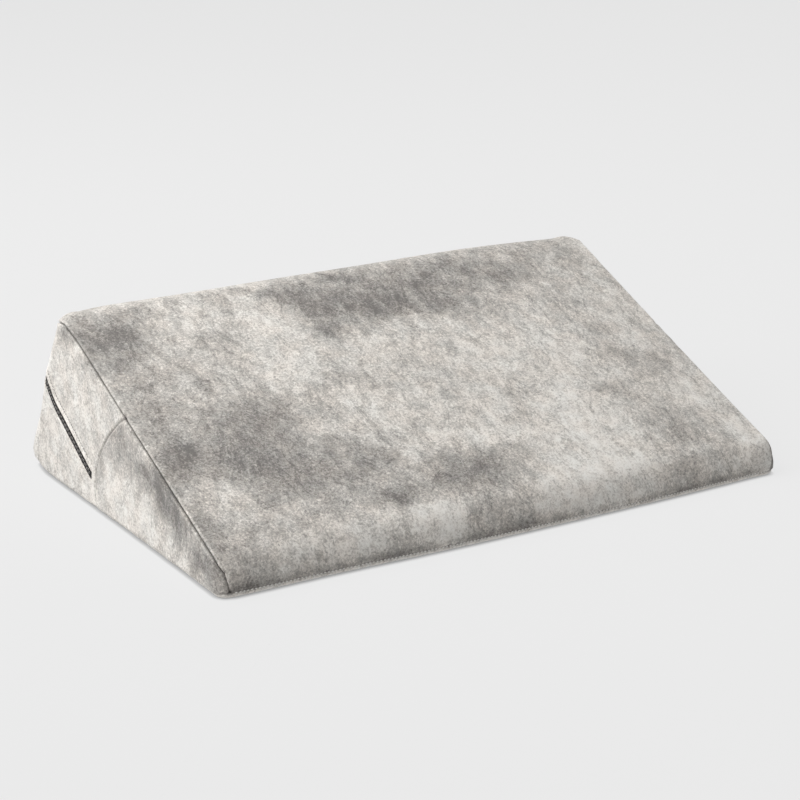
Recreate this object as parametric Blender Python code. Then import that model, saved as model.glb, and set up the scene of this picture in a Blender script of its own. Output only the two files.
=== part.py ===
"""Wedge pillow: a foam wedge in a close-fitting plush cover, with a zip set into its rear band."""
import math
from functools import lru_cache

import bmesh
import bpy
import numpy as np
from mathutils import Vector

# Overall size in metres. X runs across, Y from the low front edge to the tall rear, Z up.
WIDTH = 0.610
DEPTH = 0.440
EDGE_HEIGHT_REAR = 0.184
EDGE_HEIGHT_FRONT = 0.030
REAR_LEAN = 0.0925
FRONT_BOW = 0.006

# Corner radii seen from above, and how far each rounded edge reaches from the sharp edge
FRONT_CORNER_RADIUS = 0.013
REAR_CORNER_RADIUS_BASE = 0.028
REAR_CORNER_RADIUS_TOP = 0.026
BASE_EDGE_REACH = 0.006
BASE_CORNER_REACH = 0.020
BASE_CORNER_SPREAD = 0.040
TOP_EDGE_REACH_FRONT = 0.012
FRONT_REACH_GROWTH = 0.010
FRONT_REACH_RUN = 0.045
TOP_EDGE_REACH_CORNER = 0.010
TOP_EDGE_REACH_SIDE = 0.006
TOP_EDGE_REACH_REAR = 0.030

# Fullness: the top swells, and the sides draw in between their corners
TOP_CROWN = 0.003
CROWN_RISE_SHARE = 0.45
BOW_END_Y = 0.100
CORNER_SOFTNESS = 0.003
SIDE_DRAW_IN_BASE = 0.0020
SIDE_DRAW_IN_TOP = 0.0015

# Seams: height above the floor, places along the side, and the crease that the thread pulls in
SEAM_HEIGHT = 0.007
REAR_SEAM_BELOW_ROLL = 0.006
SEAM_DEPTH = 0.0022
SEAM_HALF_WIDTH = 0.0032
BAND_SEAM_Y_AT_BASE = 0.0425
BAND_SEAM_Y_AT_TOP = -0.0316
BAND_SEAM_BOW = 0.026
BAND_SEAM_DEPTH = 0.0016
CORNER_SEAM_TURN = math.radians(83)
CORNER_SEAM_DROP = 0.007

# The zip lies where one tilted plane cuts the wall, from one band seam round the rear to the other,
# and climbs a little more as it rounds the rear corners
ZIP_PLANE_Y = 0.056
ZIP_PLANE_Z = 0.0344
ZIP_PLANE_SLOPE = 0.641
ZIP_END_GAP = 0.0100
ZIP_CLIMB = 0.024
ZIP_CLIMB_Y = 0.122
ZIP_CLIMB_RUN = 0.052
ZIP_CHANNEL_WIDTH = 0.0080
ZIP_CHANNEL_DEPTH = 0.0030
ZIP_CHANNEL_OVERCUT = 0.006
ZIP_TAPE_WIDTH = 0.0072
ZIP_TAPE_THICKNESS = 0.0010
ZIP_CHAIN_WIDTH = 0.0050
ZIP_CHAIN_CREST_WIDTH = 0.0041
ZIP_CHAIN_HEIGHT = 0.0013
CLEARANCE = 0.0003
PULL_THICKNESS = 0.0010

# Sections of the slider and its pull: distance from the slider's nose, half width, height
SLIDER_FROM_END = 0.006
SLIDER_SECTIONS = (
    (0.0000, 0.0019, 0.0018),
    (0.0015, 0.0035, 0.0026),
    (0.0060, 0.0032, 0.0026),
    (0.0110, 0.0022, 0.0022),
    (0.0122, 0.0017, PULL_THICKNESS),
    (0.0260, 0.0017, PULL_THICKNESS),
)

SHARP_ANGLE = math.radians(50)
HALF = WIDTH / 2
EIGHTH_TURN = math.pi / 4

# The rounded base edge stops short of the sharp corner that the leaning rear would make
REAR_ANGLE = math.atan2(EDGE_HEIGHT_REAR, REAR_LEAN)
REAR_Y = DEPTH / 2 + BASE_EDGE_REACH * (1 - math.tan(REAR_ANGLE / 2))
FRONT_Y = -DEPTH / 2 + FRONT_BOW
TOP_REAR_Y = REAR_Y - REAR_LEAN
TOP_SLOPE = (EDGE_HEIGHT_REAR - EDGE_HEIGHT_FRONT) / (TOP_REAR_Y - FRONT_Y)

# Where the band seam stands among the columns of a side, from 0 at the front to 1 at the rear
BAND_COLUMN = 0.54


def top_height(y):
    """Height of the sloping top at a depth y."""
    return EDGE_HEIGHT_FRONT + (y - FRONT_Y) * TOP_SLOPE


class Outline:
    """Plan outline of the wall at one level: straight sides joined by four round corners."""

    def __init__(self, rear_y, rear_radius, seam_y, front_turn):
        self.rear_y = rear_y
        self.rear_radius = rear_radius
        self.front_turn = front_turn
        self.front_arc = FRONT_CORNER_RADIUS * front_turn
        self.rear_arc = rear_radius * EIGHTH_TURN
        self.side_start = FRONT_Y + FRONT_CORNER_RADIUS
        self.straight = rear_y - rear_radius - self.side_start
        self.side_run = self.front_arc + self.straight + self.rear_arc
        self.seam_share = (self.front_arc + seam_y - self.side_start) / self.side_run

    def at(self, a, b):
        """Point and outward angle for a place (a, b) on the rim of a square."""
        if b in (0, 1):
            radius = self.rear_radius if b else FRONT_CORNER_RADIUS
            share = EIGHTH_TURN if b else math.pi / 2 - self.front_turn
            run = abs(a) * (HALF - radius + radius * share)
            turn = max(run - HALF + radius, 0) / radius
            x = min(run, HALF - radius) + radius * math.sin(turn)
            depth = radius * (1 - math.cos(turn))
            angle = math.pi / 2 - turn
            y, angle = (self.rear_y - depth, angle) if b else (FRONT_Y + depth, -angle)
        else:
            run = self.side_run * float(np.interp(b, (0, BAND_COLUMN, 1), (0, self.seam_share, 1)))
            past_front = run - self.front_arc
            past_side = past_front - self.straight
            if past_front < 0:
                radius, angle, middle = FRONT_CORNER_RADIUS, past_front / FRONT_CORNER_RADIUS, self.side_start
            elif past_side < 0:
                radius, angle, middle = 0.0, 0.0, self.side_start + past_front
            else:
                radius, angle = self.rear_radius, past_side / self.rear_radius
                middle = self.rear_y - radius
            x = HALF - radius + radius * math.cos(angle)
            y = middle + radius * math.sin(angle)
        return math.copysign(x, a), y, angle


BASE_OUTLINE = Outline(REAR_Y, REAR_CORNER_RADIUS_BASE, BAND_SEAM_Y_AT_BASE, CORNER_SEAM_TURN)
TOP_OUTLINE = Outline(TOP_REAR_Y, REAR_CORNER_RADIUS_TOP, BAND_SEAM_Y_AT_TOP, EIGHTH_TURN)


def edge_arc(start, corner, end, steps=10):
    """Round arc that leaves start and meets end along the two lines through their shared corner."""
    half_turn = (math.pi - (start - corner).angle(end - corner)) / 2
    weight = math.cos(half_turn)
    points = []
    for step in range(steps + 1):
        t = step / steps
        parts = ((1 - t) ** 2, 2 * weight * t * (1 - t), t ** 2)
        points.append((start * parts[0] + corner * parts[1] + end * parts[2]) / sum(parts))
    return points


class Column:
    """One upright line of the wall, from the flat base up over the rounded top edge."""

    def __init__(self, a, b):
        base_x, base_y, base_angle = BASE_OUTLINE.at(a, b)
        top_x, top_y, top_angle = TOP_OUTLINE.at(a, b)
        mirror = math.copysign(1, a)
        base = Vector((base_x, base_y, 0))
        top = Vector((top_x, top_y, top_height(top_y)))
        up = (top - base).normalized()
        floor_in = Vector((-mirror * math.cos(base_angle), -math.sin(base_angle), 0))
        roof_in = Vector((-mirror * math.cos(top_angle), -math.sin(top_angle), 0))
        roof_in.z = roof_in.y * TOP_SLOPE
        roof_in.normalize()
        reaches = (TOP_EDGE_REACH_FRONT, TOP_EDGE_REACH_CORNER, TOP_EDGE_REACH_SIDE, TOP_EDGE_REACH_REAR)
        reach = float(np.interp(math.degrees(top_angle), (-90, -45, 0, 90), reaches))
        inward = min(max((WIDTH / 2 - FRONT_CORNER_RADIUS - abs(top_x)) / FRONT_REACH_RUN, 0), 1) * (b == 0)
        reach += FRONT_REACH_GROWTH * inward ** 2 * (3 - 2 * inward)
        from_corner = math.hypot(WIDTH / 2 - abs(base_x), REAR_Y - base_y) / BASE_CORNER_SPREAD
        low_reach = BASE_EDGE_REACH + BASE_CORNER_REACH * math.exp(-from_corner ** 2)
        low = edge_arc(base + floor_in * low_reach, base, base + up * low_reach)
        high = edge_arc(top - up * reach, top, top + roof_in * reach)
        wall = [low[-1].lerp(high[0], step / 20) for step in range(1, 20)]
        points = np.array([tuple(point) for point in low + wall + high])
        share = points[:, 2] / top.z
        swell = 4 * share * (1 - np.clip(share, 0, 1))
        near_band = 1 - abs(b - BAND_COLUMN) / (1 - BAND_COLUMN if b > BAND_COLUMN else BAND_COLUMN)
        points[:, 1] += BAND_SEAM_BOW * swell * near_band
        soft = CORNER_SOFTNESS * swell * math.sin(2 * base_angle) * (base_angle > 0)
        points[:, 0] -= mirror * math.cos(base_angle) * soft
        points[:, 1] -= math.sin(base_angle) * soft
        self.points = points
        self.run = np.concatenate(([0], np.cumsum(np.linalg.norm(np.diff(points, axis=0), axis=1))))
        self.anchors = self.find_anchors(b, top_angle, len(high))

    def find_anchors(self, b, top_angle, high_count):
        """Lengths along the column at which the seams and the zip cross it."""
        rearward = max(math.sin(top_angle), 0)
        base_seam = float(np.interp(SEAM_HEIGHT, self.points[:, 2], self.run))
        roll_start = self.run[-high_count]
        middle = (roll_start + self.run[-1]) / 2
        top_seam = middle + (roll_start - REAR_SEAM_BELOW_ROLL - middle) * rearward
        corner_share = max(1 - abs(top_angle + EIGHTH_TURN) / EIGHTH_TURN, 0)
        top_seam -= CORNER_SEAM_DROP * corner_share ** 2
        climb = np.clip((self.points[:, 1] - ZIP_CLIMB_Y) / ZIP_CLIMB_RUN, 0, 1)
        plane = ZIP_PLANE_Z + ZIP_PLANE_SLOPE * (self.points[:, 1] - ZIP_PLANE_Y)
        plane += ZIP_CLIMB * climb ** 2 * (3 - 2 * climb)
        zip_line = float(np.interp(0, self.points[:, 2] - plane, self.run))
        front_zip_row = base_seam + (top_seam - base_seam) * FRONT_ZIP_ROW_SHARE
        toward_band = min(b / BAND_COLUMN, 1) ** 2
        return {
            "start": 0.0,
            "base seam": base_seam,
            "zip": front_zip_row + (zip_line - front_zip_row) * toward_band,
            "top seam": top_seam,
            "end": float(self.run[-1]),
        }

    def at(self, length):
        """Point at a length along the column."""
        return Vector(float(np.interp(length, self.run, self.points[:, axis])) for axis in range(3))


# Rows of the wall from the base up: the two lines that a row lies between, its share of the way
# from the first to the second, and its distance past that place
ROWS = (
    ("start", "base seam", 0.0, 0.0),
    ("start", "base seam", 0.5, -0.0010),
    ("base seam", "zip", 0.0, -SEAM_HALF_WIDTH),
    ("base seam", "zip", 0.0, 0.0),
    ("base seam", "zip", 0.0, SEAM_HALF_WIDTH),
    ("base seam", "zip", 0.40, 0.0),
    ("base seam", "zip", 0.62, 0.0),
    ("base seam", "zip", 0.82, 0.0),
    ("zip", "top seam", 0.0, 0.0),
    ("zip", "top seam", 0.14, 0.0),
    ("zip", "top seam", 0.28, 0.0),
    ("zip", "top seam", 0.42, 0.0),
    ("zip", "top seam", 0.56, 0.0),
    ("zip", "top seam", 0.70, 0.0),
    ("top seam", "end", 0.0, -SEAM_HALF_WIDTH),
    ("top seam", "end", 0.0, 0.0),
    ("top seam", "end", 0.0, SEAM_HALF_WIDTH),
    ("top seam", "end", 0.55, 0.0),
    ("top seam", "end", 0.80, 0.0),
    ("top seam", "end", 1.0, 0.0),
)
BASE_SEAM_ROW = 3
ZIP_ROW = 8
TOP_SEAM_ROW = 15

# Where the row of the zip lies on the front edge, as a share of the way up to the top seam
FRONT_ZIP_ROW_SHARE = 0.4

# Columns across the front and rear (share of the half width), and along a side
ACROSS = (0.0, 0.10, 0.20, 0.30, 0.40, 0.50, 0.60, 0.69, 0.77, 0.835, 0.88, 0.91, 0.94, 0.97, 1.0)
ALONG_FRONT = (0.0, 0.02, 0.04, 0.06, 0.085, 0.13, 0.19, 0.25, 0.31, 0.37, 0.43, 0.48, 0.52)
ALONG_REAR = (0.57, 0.61, 0.66, 0.71, 0.76, 0.81, 0.855, 0.89, 0.92, 0.95, 0.975, 1.0)
BAND_CREASE = 0.010
ALONG = ALONG_FRONT + (BAND_COLUMN - BAND_CREASE, BAND_COLUMN, BAND_COLUMN + BAND_CREASE) + ALONG_REAR

# Share of the half width over which the rows of the panels fan out from the corners
FAN_WIDTH = 0.3

# Stations of the zip up each side and across the rear
ZIP_SIDE_STEPS = 18
ZIP_REAR_STEPS = 36


@lru_cache(maxsize=None)
def column(a, b):
    """The wall's column at a place on the rim of the square, worked out once."""
    return Column(a, b)


@lru_cache(maxsize=None)
def wall_point(a, b, row):
    """Point of the wall on a column, at a row number that may lie between two rows."""
    line = column(a, b)
    lengths = []
    for below, above, share, past in ROWS:
        start = line.anchors[below]
        lengths.append(start + (line.anchors[above] - start) * share + past)
    return line.at(float(np.interp(row, range(len(ROWS)), lengths)))


def progress(point, first, last, axis):
    """How far a point has come from the first to the last, measured along one axis."""
    return (point[axis] - first[axis]) / (last[axis] - first[axis])


def panel_point(a, b, row):
    """Point of the top or base panel, with its rows fanned out from the corners to even steps."""
    outline = TOP_OUTLINE if row else BASE_OUTLINE
    front, rear = wall_point(a, 0, row), wall_point(a, 1, row)
    left, right = wall_point(-1, b, row), wall_point(1, b, row)
    at_edge = progress(left, wall_point(-1, 0, row), wall_point(-1, 1, row), 1)
    even = float(np.interp(b, (0, BAND_COLUMN, 1), (0, outline.seam_share, 1)))
    from_side = min((1 - abs(a)) / FAN_WIDTH, 1)
    s = at_edge + (even - at_edge) * from_side ** 2 * (3 - 2 * from_side)
    t_front = progress(front, wall_point(-1, 0, row), wall_point(1, 0, row), 0)
    t_rear = progress(rear, wall_point(-1, 1, row), wall_point(1, 1, row), 0)
    x = left.lerp(right, t_front + (t_rear - t_front) * s).x
    y = front.lerp(rear, s).y
    return Vector((x, y, top_height(y) if row else 0.0))


def filled(point):
    """The same point after the cover's fullness: crown, drawn-in sides and bowed front edge."""
    x, y, z = point
    across = 1 - (x / HALF) ** 2
    height_share = min(max(z / top_height(y), 0), 1) if z > 0 else 0
    along = max((y - FRONT_Y) / (REAR_Y - FRONT_Y), 0)
    between_corners = max(4 * along * (1 - along), 0)
    draw = SIDE_DRAW_IN_BASE + (SIDE_DRAW_IN_TOP - SIDE_DRAW_IN_BASE) * height_share
    forward = min(max((BOW_END_Y - y) / (BOW_END_Y - FRONT_Y), 0), 1)
    rise = math.sin(min(along / CROWN_RISE_SHARE, 1) * math.pi / 2)
    return Vector((
        x - (x / HALF) * draw * between_corners,
        y - FRONT_BOW * across * forward,
        z + TOP_CROWN * across * rise * height_share ** 3,
    ))


def skin(a, b, row):
    """Surface point for a place (a, b) of the square at a row."""
    on_rim = abs(a) == 1 or b in (0, 1)
    return filled(wall_point(a, b, row) if on_rim else panel_point(a, b, row))


def cut_box(cuts_x, cuts_y, cuts_z):
    """A cube primitive from the first to the last of the given places, cut at each place between."""
    box = bmesh.new()
    bmesh.ops.create_cube(box, size=1)
    cuts = (cuts_x, cuts_y, cuts_z)
    for vert in box.verts:
        vert.co = Vector(places[-1] if value > 0 else places[0] for value, places in zip(vert.co, cuts))
    for axis, places in enumerate(cuts):
        normal = Vector((axis == 0, axis == 1, axis == 2))
        for place in places[1:-1]:
            everything = box.verts[:] + box.edges[:] + box.faces[:]
            bmesh.ops.bisect_plane(box, geom=everything, dist=1e-6, plane_co=normal * place, plane_no=normal)
    return box


def snapped(value, places):
    """The station nearest to a cut vertex's coordinate."""
    return min(places, key=lambda place: abs(place - value))


def seam_crease(a, b, row):
    """How deep the thread pulls the cover in at a station."""
    at_front, at_rear, at_side = b == 0, b == 1, abs(a) == 1
    between_seams = BASE_SEAM_ROW < row < TOP_SEAM_ROW
    if row == BASE_SEAM_ROW:
        return SEAM_DEPTH
    if row == TOP_SEAM_ROW and (at_side or at_rear):
        return SEAM_DEPTH
    if at_side and at_front and between_seams:
        return SEAM_DEPTH
    if at_side and b == BAND_COLUMN and between_seams:
        return BAND_SEAM_DEPTH
    return 0.0


def finish_object(name, mesh_source, material, collection):
    """A named object from a bmesh, smooth shaded, with its material, in a collection."""
    bmesh.ops.recalc_face_normals(mesh_source, faces=mesh_source.faces)
    if mesh_source.calc_volume(signed=True) < 0:
        bmesh.ops.reverse_faces(mesh_source, faces=mesh_source.faces)
    mesh = bpy.data.meshes.new(name)
    mesh_source.to_mesh(mesh)
    mesh_source.free()
    mesh.shade_smooth()
    mesh.set_sharp_from_angle(angle=SHARP_ANGLE)
    if material:
        mesh.materials.append(material)
    made = bpy.data.objects.new(name, mesh)
    collection.objects.link(made)
    return made


def make_material(name, color, roughness, metallic):
    material = bpy.data.materials.new(name)
    material.use_nodes = True
    shader = material.node_tree.nodes["Principled BSDF"]
    shader.inputs["Base Color"].default_value = (*color, 1)
    shader.inputs["Roughness"].default_value = roughness
    shader.inputs["Metallic"].default_value = metallic
    return material


def make_cushion(collection, material):
    """The filled cover as one body: crowned top, rounded edges and sewn creases."""
    across = tuple(-place for place in reversed(ACROSS[1:])) + ACROSS
    rows = tuple(range(len(ROWS)))
    box = cut_box(across, ALONG, rows)
    creases = []
    for vert in box.verts:
        a, b, row = (snapped(value, places) for value, places in zip(vert.co, (across, ALONG, rows)))
        creases.append(seam_crease(a, b, row))
        vert.co = skin(a, b, row)
    box.normal_update()
    moves = [vert.normal * depth for vert, depth in zip(box.verts, creases)]
    for vert, move in zip(box.verts, moves):
        vert.co -= move
    return finish_object("wedge_pillow", box, material, collection)


def zip_stations():
    """Places of the zip's line on the rim: up the left side, across the rear, down the right side."""
    band_run = BASE_OUTLINE.side_run * (1 - BASE_OUTLINE.seam_share)
    start = BAND_COLUMN + (1 - BAND_COLUMN) * ZIP_END_GAP / band_run
    up = [start + (1 - start) * step / ZIP_SIDE_STEPS for step in range(ZIP_SIDE_STEPS)]
    rear = [-1 + 2 * step / ZIP_REAR_STEPS for step in range(ZIP_REAR_STEPS + 1)]
    return [(-1, b) for b in up] + [(a, 1) for a in rear] + [(1, b) for b in reversed(up)]


def zip_frames():
    """Point, direction along, direction across and outward direction at each station of the zip."""
    stations = zip_stations()
    points = [skin(a, b, ZIP_ROW) for a, b in stations]
    frames = []
    for index, (a, b) in enumerate(stations):
        before, after = points[max(index - 1, 0)], points[min(index + 1, len(points) - 1)]
        along = (after - before).normalized()
        rise = skin(a, b, ZIP_ROW + 0.5) - skin(a, b, ZIP_ROW - 0.5)
        outward = rise.cross(along).normalized()
        frames.append((points[index], along, along.cross(outward).normalized(), outward))
    return frames


def shorten(frames, gap):
    """The same frames with both ends drawn back by a gap."""
    drawn = list(frames)
    for index, sign in ((0, 1), (-1, -1)):
        point, along, across, outward = frames[index]
        drawn[index] = (point + along * sign * gap, along, across, outward)
    return drawn


def strip_along(frames, floor, profile):
    """A strip that follows the frames: a cut box from its floor up to a profile of (place, height)."""
    box = cut_box(tuple(range(len(frames))), tuple(range(len(profile))), (0, 1))
    for vert in box.verts:
        point, along, across, outward = frames[round(vert.co.x)]
        place, level = profile[round(vert.co.y)]
        height = level if vert.co.z > 0.5 else floor
        vert.co = point + across * place + outward * height
    return box


def make_zip_cutter(collection, frames):
    """The channel that the zip lies in, between the two turned edges of the band."""
    edge = ZIP_CHANNEL_WIDTH / 2
    profile = ((-edge, ZIP_CHANNEL_OVERCUT), (edge, ZIP_CHANNEL_OVERCUT))
    box = strip_along(frames, -ZIP_CHANNEL_DEPTH, profile)
    cutter = finish_object("zip_channel_cutter", box, None, collection)
    cutter.hide_render = True
    cutter.display_type = "WIRE"
    return cutter


def make_zip(collection, material, frames):
    """Both tapes and the closed chain of coils as one strip, lower at its edges than in its middle."""
    floor = -ZIP_CHANNEL_DEPTH + CLEARANCE
    tape = floor + ZIP_TAPE_THICKNESS
    crest = tape + ZIP_CHAIN_HEIGHT
    half = ((ZIP_TAPE_WIDTH / 2, tape), (ZIP_CHAIN_WIDTH / 2, tape), (ZIP_CHAIN_CREST_WIDTH / 2, crest))
    profile = [(-place, level) for place, level in half] + list(reversed(half))
    box = strip_along(shorten(frames, CLEARANCE), floor, profile)
    return finish_object("zip_chain", box, material, collection)


def make_slider(collection, material, frames):
    """The slider with its short flat pull, parked at the right-hand end of the zip."""
    floor = -ZIP_CHANNEL_DEPTH + 2 * CLEARANCE + ZIP_TAPE_THICKNESS + ZIP_CHAIN_HEIGHT
    box = cut_box(tuple(range(len(SLIDER_SECTIONS))), (-1, 0, 1), (0, 1))
    point, along, across, outward = frames[-2]
    for vert in box.verts:
        distance, half_width, height = SLIDER_SECTIONS[round(vert.co.x)]
        lift = floor + (height if vert.co.z > 0.5 else 0)
        place = point - along * (SLIDER_FROM_END + distance)
        vert.co = place + across * vert.co.y * half_width + outward * lift
    return finish_object("zip_slider", box, material, collection)


def main():
    for stale in list(bpy.data.objects):
        bpy.data.objects.remove(stale, do_unlink=True)
    parts = bpy.data.collections.new("wedge_pillow")
    cutters = bpy.data.collections.new("cutters")
    for collection in (parts, cutters):
        bpy.context.scene.collection.children.link(collection)

    plush = make_material("marbled_plush", (0.56, 0.54, 0.51), 0.9, 0.0)
    nylon = make_material("black_nylon", (0.012, 0.012, 0.013), 0.45, 0.0)
    lacquer = make_material("black_lacquer", (0.02, 0.02, 0.02), 0.35, 0.0)

    frames = zip_frames()
    cushion = make_cushion(parts, plush)
    channel = cushion.modifiers.new("zip_channel", "BOOLEAN")
    channel.operation = "DIFFERENCE"
    channel.solver = "EXACT"
    channel.object = make_zip_cutter(cutters, frames)
    make_zip(parts, nylon, frames)
    make_slider(parts, lacquer, frames)


main()
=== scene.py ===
# %% [markdown]
# # Wedge pillow
# A foam wedge lies in a removable plush cover: a sloping top panel, two side panels, a band with a
# zip round the rear, and a base panel. The solid parts are packed already, so this script only gives
# them their looks: a soft dense mesh for the cover, a real zip, stitches, cloth and studio light.
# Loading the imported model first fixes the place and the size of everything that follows.

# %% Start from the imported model
import math

import bmesh
import bpy
import numpy as np
from mathutils import Matrix, Vector, noise
from mathutils.bvhtree import BVHTree
from mathutils.kdtree import KDTree


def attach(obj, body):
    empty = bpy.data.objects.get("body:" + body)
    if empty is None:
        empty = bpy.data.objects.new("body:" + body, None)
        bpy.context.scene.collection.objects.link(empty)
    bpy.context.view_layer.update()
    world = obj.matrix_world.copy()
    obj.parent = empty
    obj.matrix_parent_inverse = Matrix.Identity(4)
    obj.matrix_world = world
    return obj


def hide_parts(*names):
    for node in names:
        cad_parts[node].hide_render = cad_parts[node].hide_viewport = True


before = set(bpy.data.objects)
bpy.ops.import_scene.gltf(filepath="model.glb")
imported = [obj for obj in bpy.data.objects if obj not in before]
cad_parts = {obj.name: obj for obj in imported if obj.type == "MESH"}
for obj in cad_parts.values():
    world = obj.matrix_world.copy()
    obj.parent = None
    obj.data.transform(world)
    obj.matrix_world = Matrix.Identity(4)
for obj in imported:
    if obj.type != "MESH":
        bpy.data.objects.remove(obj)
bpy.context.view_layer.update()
print("packed pieces:", sorted(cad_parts))

# %% [markdown]
# ## Camera
# The photo looks down on the pillow from its front left, from about two metres away with a long
# lens, so the edges hardly converge. A camera can be aimed with a Track To constraint, or its matrix
# can be put together from three directions. The matrix is used here, because it lets the view slide
# sideways and upwards a little without turning.

# %% Camera at the photo's angle
AZIMUTH, ELEVATION = math.radians(-31.88), math.radians(17.38)
DISTANCE, SLIDE_RIGHT, SLIDE_UP = 2.0233, 0.0047, 0.0662
FOCAL_PIXELS, PICTURE_PIXELS, SENSOR = 2032.5, 800, 36.0


def linked(name, data):
    """A new object that holds the data, linked to the scene."""
    made = bpy.data.objects.new(name, data)
    bpy.context.scene.collection.objects.link(made)
    return made


backward = Vector((math.sin(AZIMUTH) * math.cos(ELEVATION),
                   -math.cos(AZIMUTH) * math.cos(ELEVATION),
                   math.sin(ELEVATION)))
rightward = (-backward).cross(Vector((0, 0, 1))).normalized()
upward = backward.cross(rightward)
camera_data = bpy.data.cameras.new("camera")
camera_data.sensor_width = SENSOR
camera_data.lens = FOCAL_PIXELS / PICTURE_PIXELS * SENSOR
camera = linked("camera", camera_data)
placement = Matrix((rightward, upward, backward)).transposed().to_4x4()
placement.translation = (rightward * SLIDE_RIGHT + upward * SLIDE_UP + backward * DISTANCE
                         + Vector((0, 0.001, 0)))
camera.matrix_world = placement
bpy.context.scene.camera = camera
print("lens in mm:", round(camera_data.lens, 1))

# %% [markdown]
# ## Sizes of the cover
# A sewn cover follows its foam, so a few lengths describe it: the plan of the foam at the floor and
# at the top, the height of its edges, and the radius to which each edge rounds under the cloth.
# Nearly the same lengths made the solids, so the soft mesh lies where the solid lies.

# %% Sizes of the foam and its cover
WIDTH, DEPTH = 0.610, 0.440
EDGE_HEIGHT_REAR, EDGE_HEIGHT_FRONT = 0.184, 0.030
REAR_LEAN, FRONT_BOW = 0.0925, 0.006
FRONT_CORNER_RADIUS, REAR_CORNER_RADIUS_BASE, REAR_CORNER_RADIUS_TOP = 0.013, 0.028, 0.026
BASE_EDGE_REACH, BASE_CORNER_REACH, BASE_CORNER_SPREAD = 0.006, 0.020, 0.040
TOP_EDGE_REACHES, FRONT_REACH_GROWTH, FRONT_REACH_RUN = (0.012, 0.010, 0.006, 0.030), 0.010, 0.045
TOP_CROWN, CROWN_RISE_SHARE, BOW_END_Y = 0.003, 0.45, 0.100
CORNER_SOFTNESS, SIDE_DRAW_IN_BASE, SIDE_DRAW_IN_TOP = 0.003, 0.0020, 0.0015
SEAM_HEIGHT, SEAM_HEIGHT_FRONT, REAR_SEAM_BELOW_ROLL = 0.0026, 0.0048, 0.006
CORNER_SEAM_TURN, CORNER_SEAM_DROP = math.radians(83), 0.007
BAND_SEAM_Y_AT_BASE, BAND_SEAM_Y_AT_TOP, BAND_SEAM_BOW = 0.0425, -0.0316, 0.026
ZIP_PLANE_Y, ZIP_PLANE_Z, ZIP_PLANE_SLOPE, ZIP_END_GAP = 0.056, 0.0344, 0.641, 0.0100
ZIP_CLIMB, ZIP_CLIMB_Y, ZIP_CLIMB_RUN = 0.024, 0.122, 0.052
FRONT_ZIP_ROW_SHARE, BAND_COLUMN = 0.4, 0.54

HALF = WIDTH / 2
REAR_ANGLE = math.atan2(EDGE_HEIGHT_REAR, REAR_LEAN)
REAR_Y = DEPTH / 2 + BASE_EDGE_REACH * (1 - math.tan(REAR_ANGLE / 2))
FRONT_Y = -DEPTH / 2 + FRONT_BOW
TOP_REAR_Y = REAR_Y - REAR_LEAN
TOP_SLOPE = (EDGE_HEIGHT_REAR - EDGE_HEIGHT_FRONT) / (TOP_REAR_Y - FRONT_Y)
EIGHTH_TURN = math.pi / 4


def top_height(y):
    """Height of the sloping top at a depth y, for a number or an array."""
    return EDGE_HEIGHT_FRONT + (y - FRONT_Y) * TOP_SLOPE


print("slope of the top in degrees:", round(math.degrees(math.atan(TOP_SLOPE)), 1))

# %% [markdown]
# ## Plan outlines
# Seen from above, the foam is a rectangle with round corners, larger at the floor than at the top
# because the rear leans forward. A place on the rim is given as (a, b): a runs from -1 to 1 across,
# b from 0 at the front to 1 at the rear. Walking along the outline by length, and not by angle,
# keeps the mesh's columns evenly spaced round each corner.

# %% Plan outlines
class Outline:
    """Straight sides joined by four round corners, at one level of the wall."""

    def __init__(self, rear_y, rear_radius, seam_y, front_turn):
        self.rear_y, self.rear_radius, self.front_turn = rear_y, rear_radius, front_turn
        self.front_arc = FRONT_CORNER_RADIUS * front_turn
        self.side_start = FRONT_Y + FRONT_CORNER_RADIUS
        self.straight = rear_y - rear_radius - self.side_start
        self.side_run = self.front_arc + self.straight + rear_radius * EIGHTH_TURN
        self.seam_share = (self.front_arc + seam_y - self.side_start) / self.side_run

    def at(self, a, b):
        """Point and outward angle at a place on the rim."""
        if b in (0, 1):
            radius = self.rear_radius if b else FRONT_CORNER_RADIUS
            run = abs(a) * (HALF - radius + radius * (EIGHTH_TURN if b else math.pi / 2 - self.front_turn))
            turn = max(run - HALF + radius, 0) / radius
            x = min(run, HALF - radius) + radius * math.sin(turn)
            depth, angle = radius * (1 - math.cos(turn)), math.pi / 2 - turn
            y, angle = (self.rear_y - depth, angle) if b else (FRONT_Y + depth, -angle)
            return math.copysign(x, a), y, angle
        run = self.side_run * float(np.interp(b, (0, BAND_COLUMN, 1), (0, self.seam_share, 1)))
        past_front = run - self.front_arc
        past_side = past_front - self.straight
        if past_front < 0:
            radius, angle, middle = FRONT_CORNER_RADIUS, past_front / FRONT_CORNER_RADIUS, self.side_start
        elif past_side < 0:
            radius, angle, middle = 0.0, 0.0, self.side_start + past_front
        else:
            radius, angle = self.rear_radius, past_side / self.rear_radius
            middle = self.rear_y - radius
        x = HALF - radius + radius * math.cos(angle)
        return math.copysign(x, a), middle + radius * math.sin(angle), angle


base_outline = Outline(REAR_Y, REAR_CORNER_RADIUS_BASE, BAND_SEAM_Y_AT_BASE, CORNER_SEAM_TURN)
top_outline = Outline(TOP_REAR_Y, REAR_CORNER_RADIUS_TOP, BAND_SEAM_Y_AT_TOP, EIGHTH_TURN)
print("side of the base in mm:", round(base_outline.side_run * 1000))

# %% [markdown]
# ## Columns of the wall
# The wall could be a loft between two outlines with a Bevel modifier on its edges. A bevel has one
# width for an edge, while this cover rounds by 6 mm at the sides and 30 mm at the rear. So each
# column is drawn by itself: an arc off the floor, a straight run, and an arc over into the top.
# The lengths at which seams and zip cross the column are kept with it, as its anchors.

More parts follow.
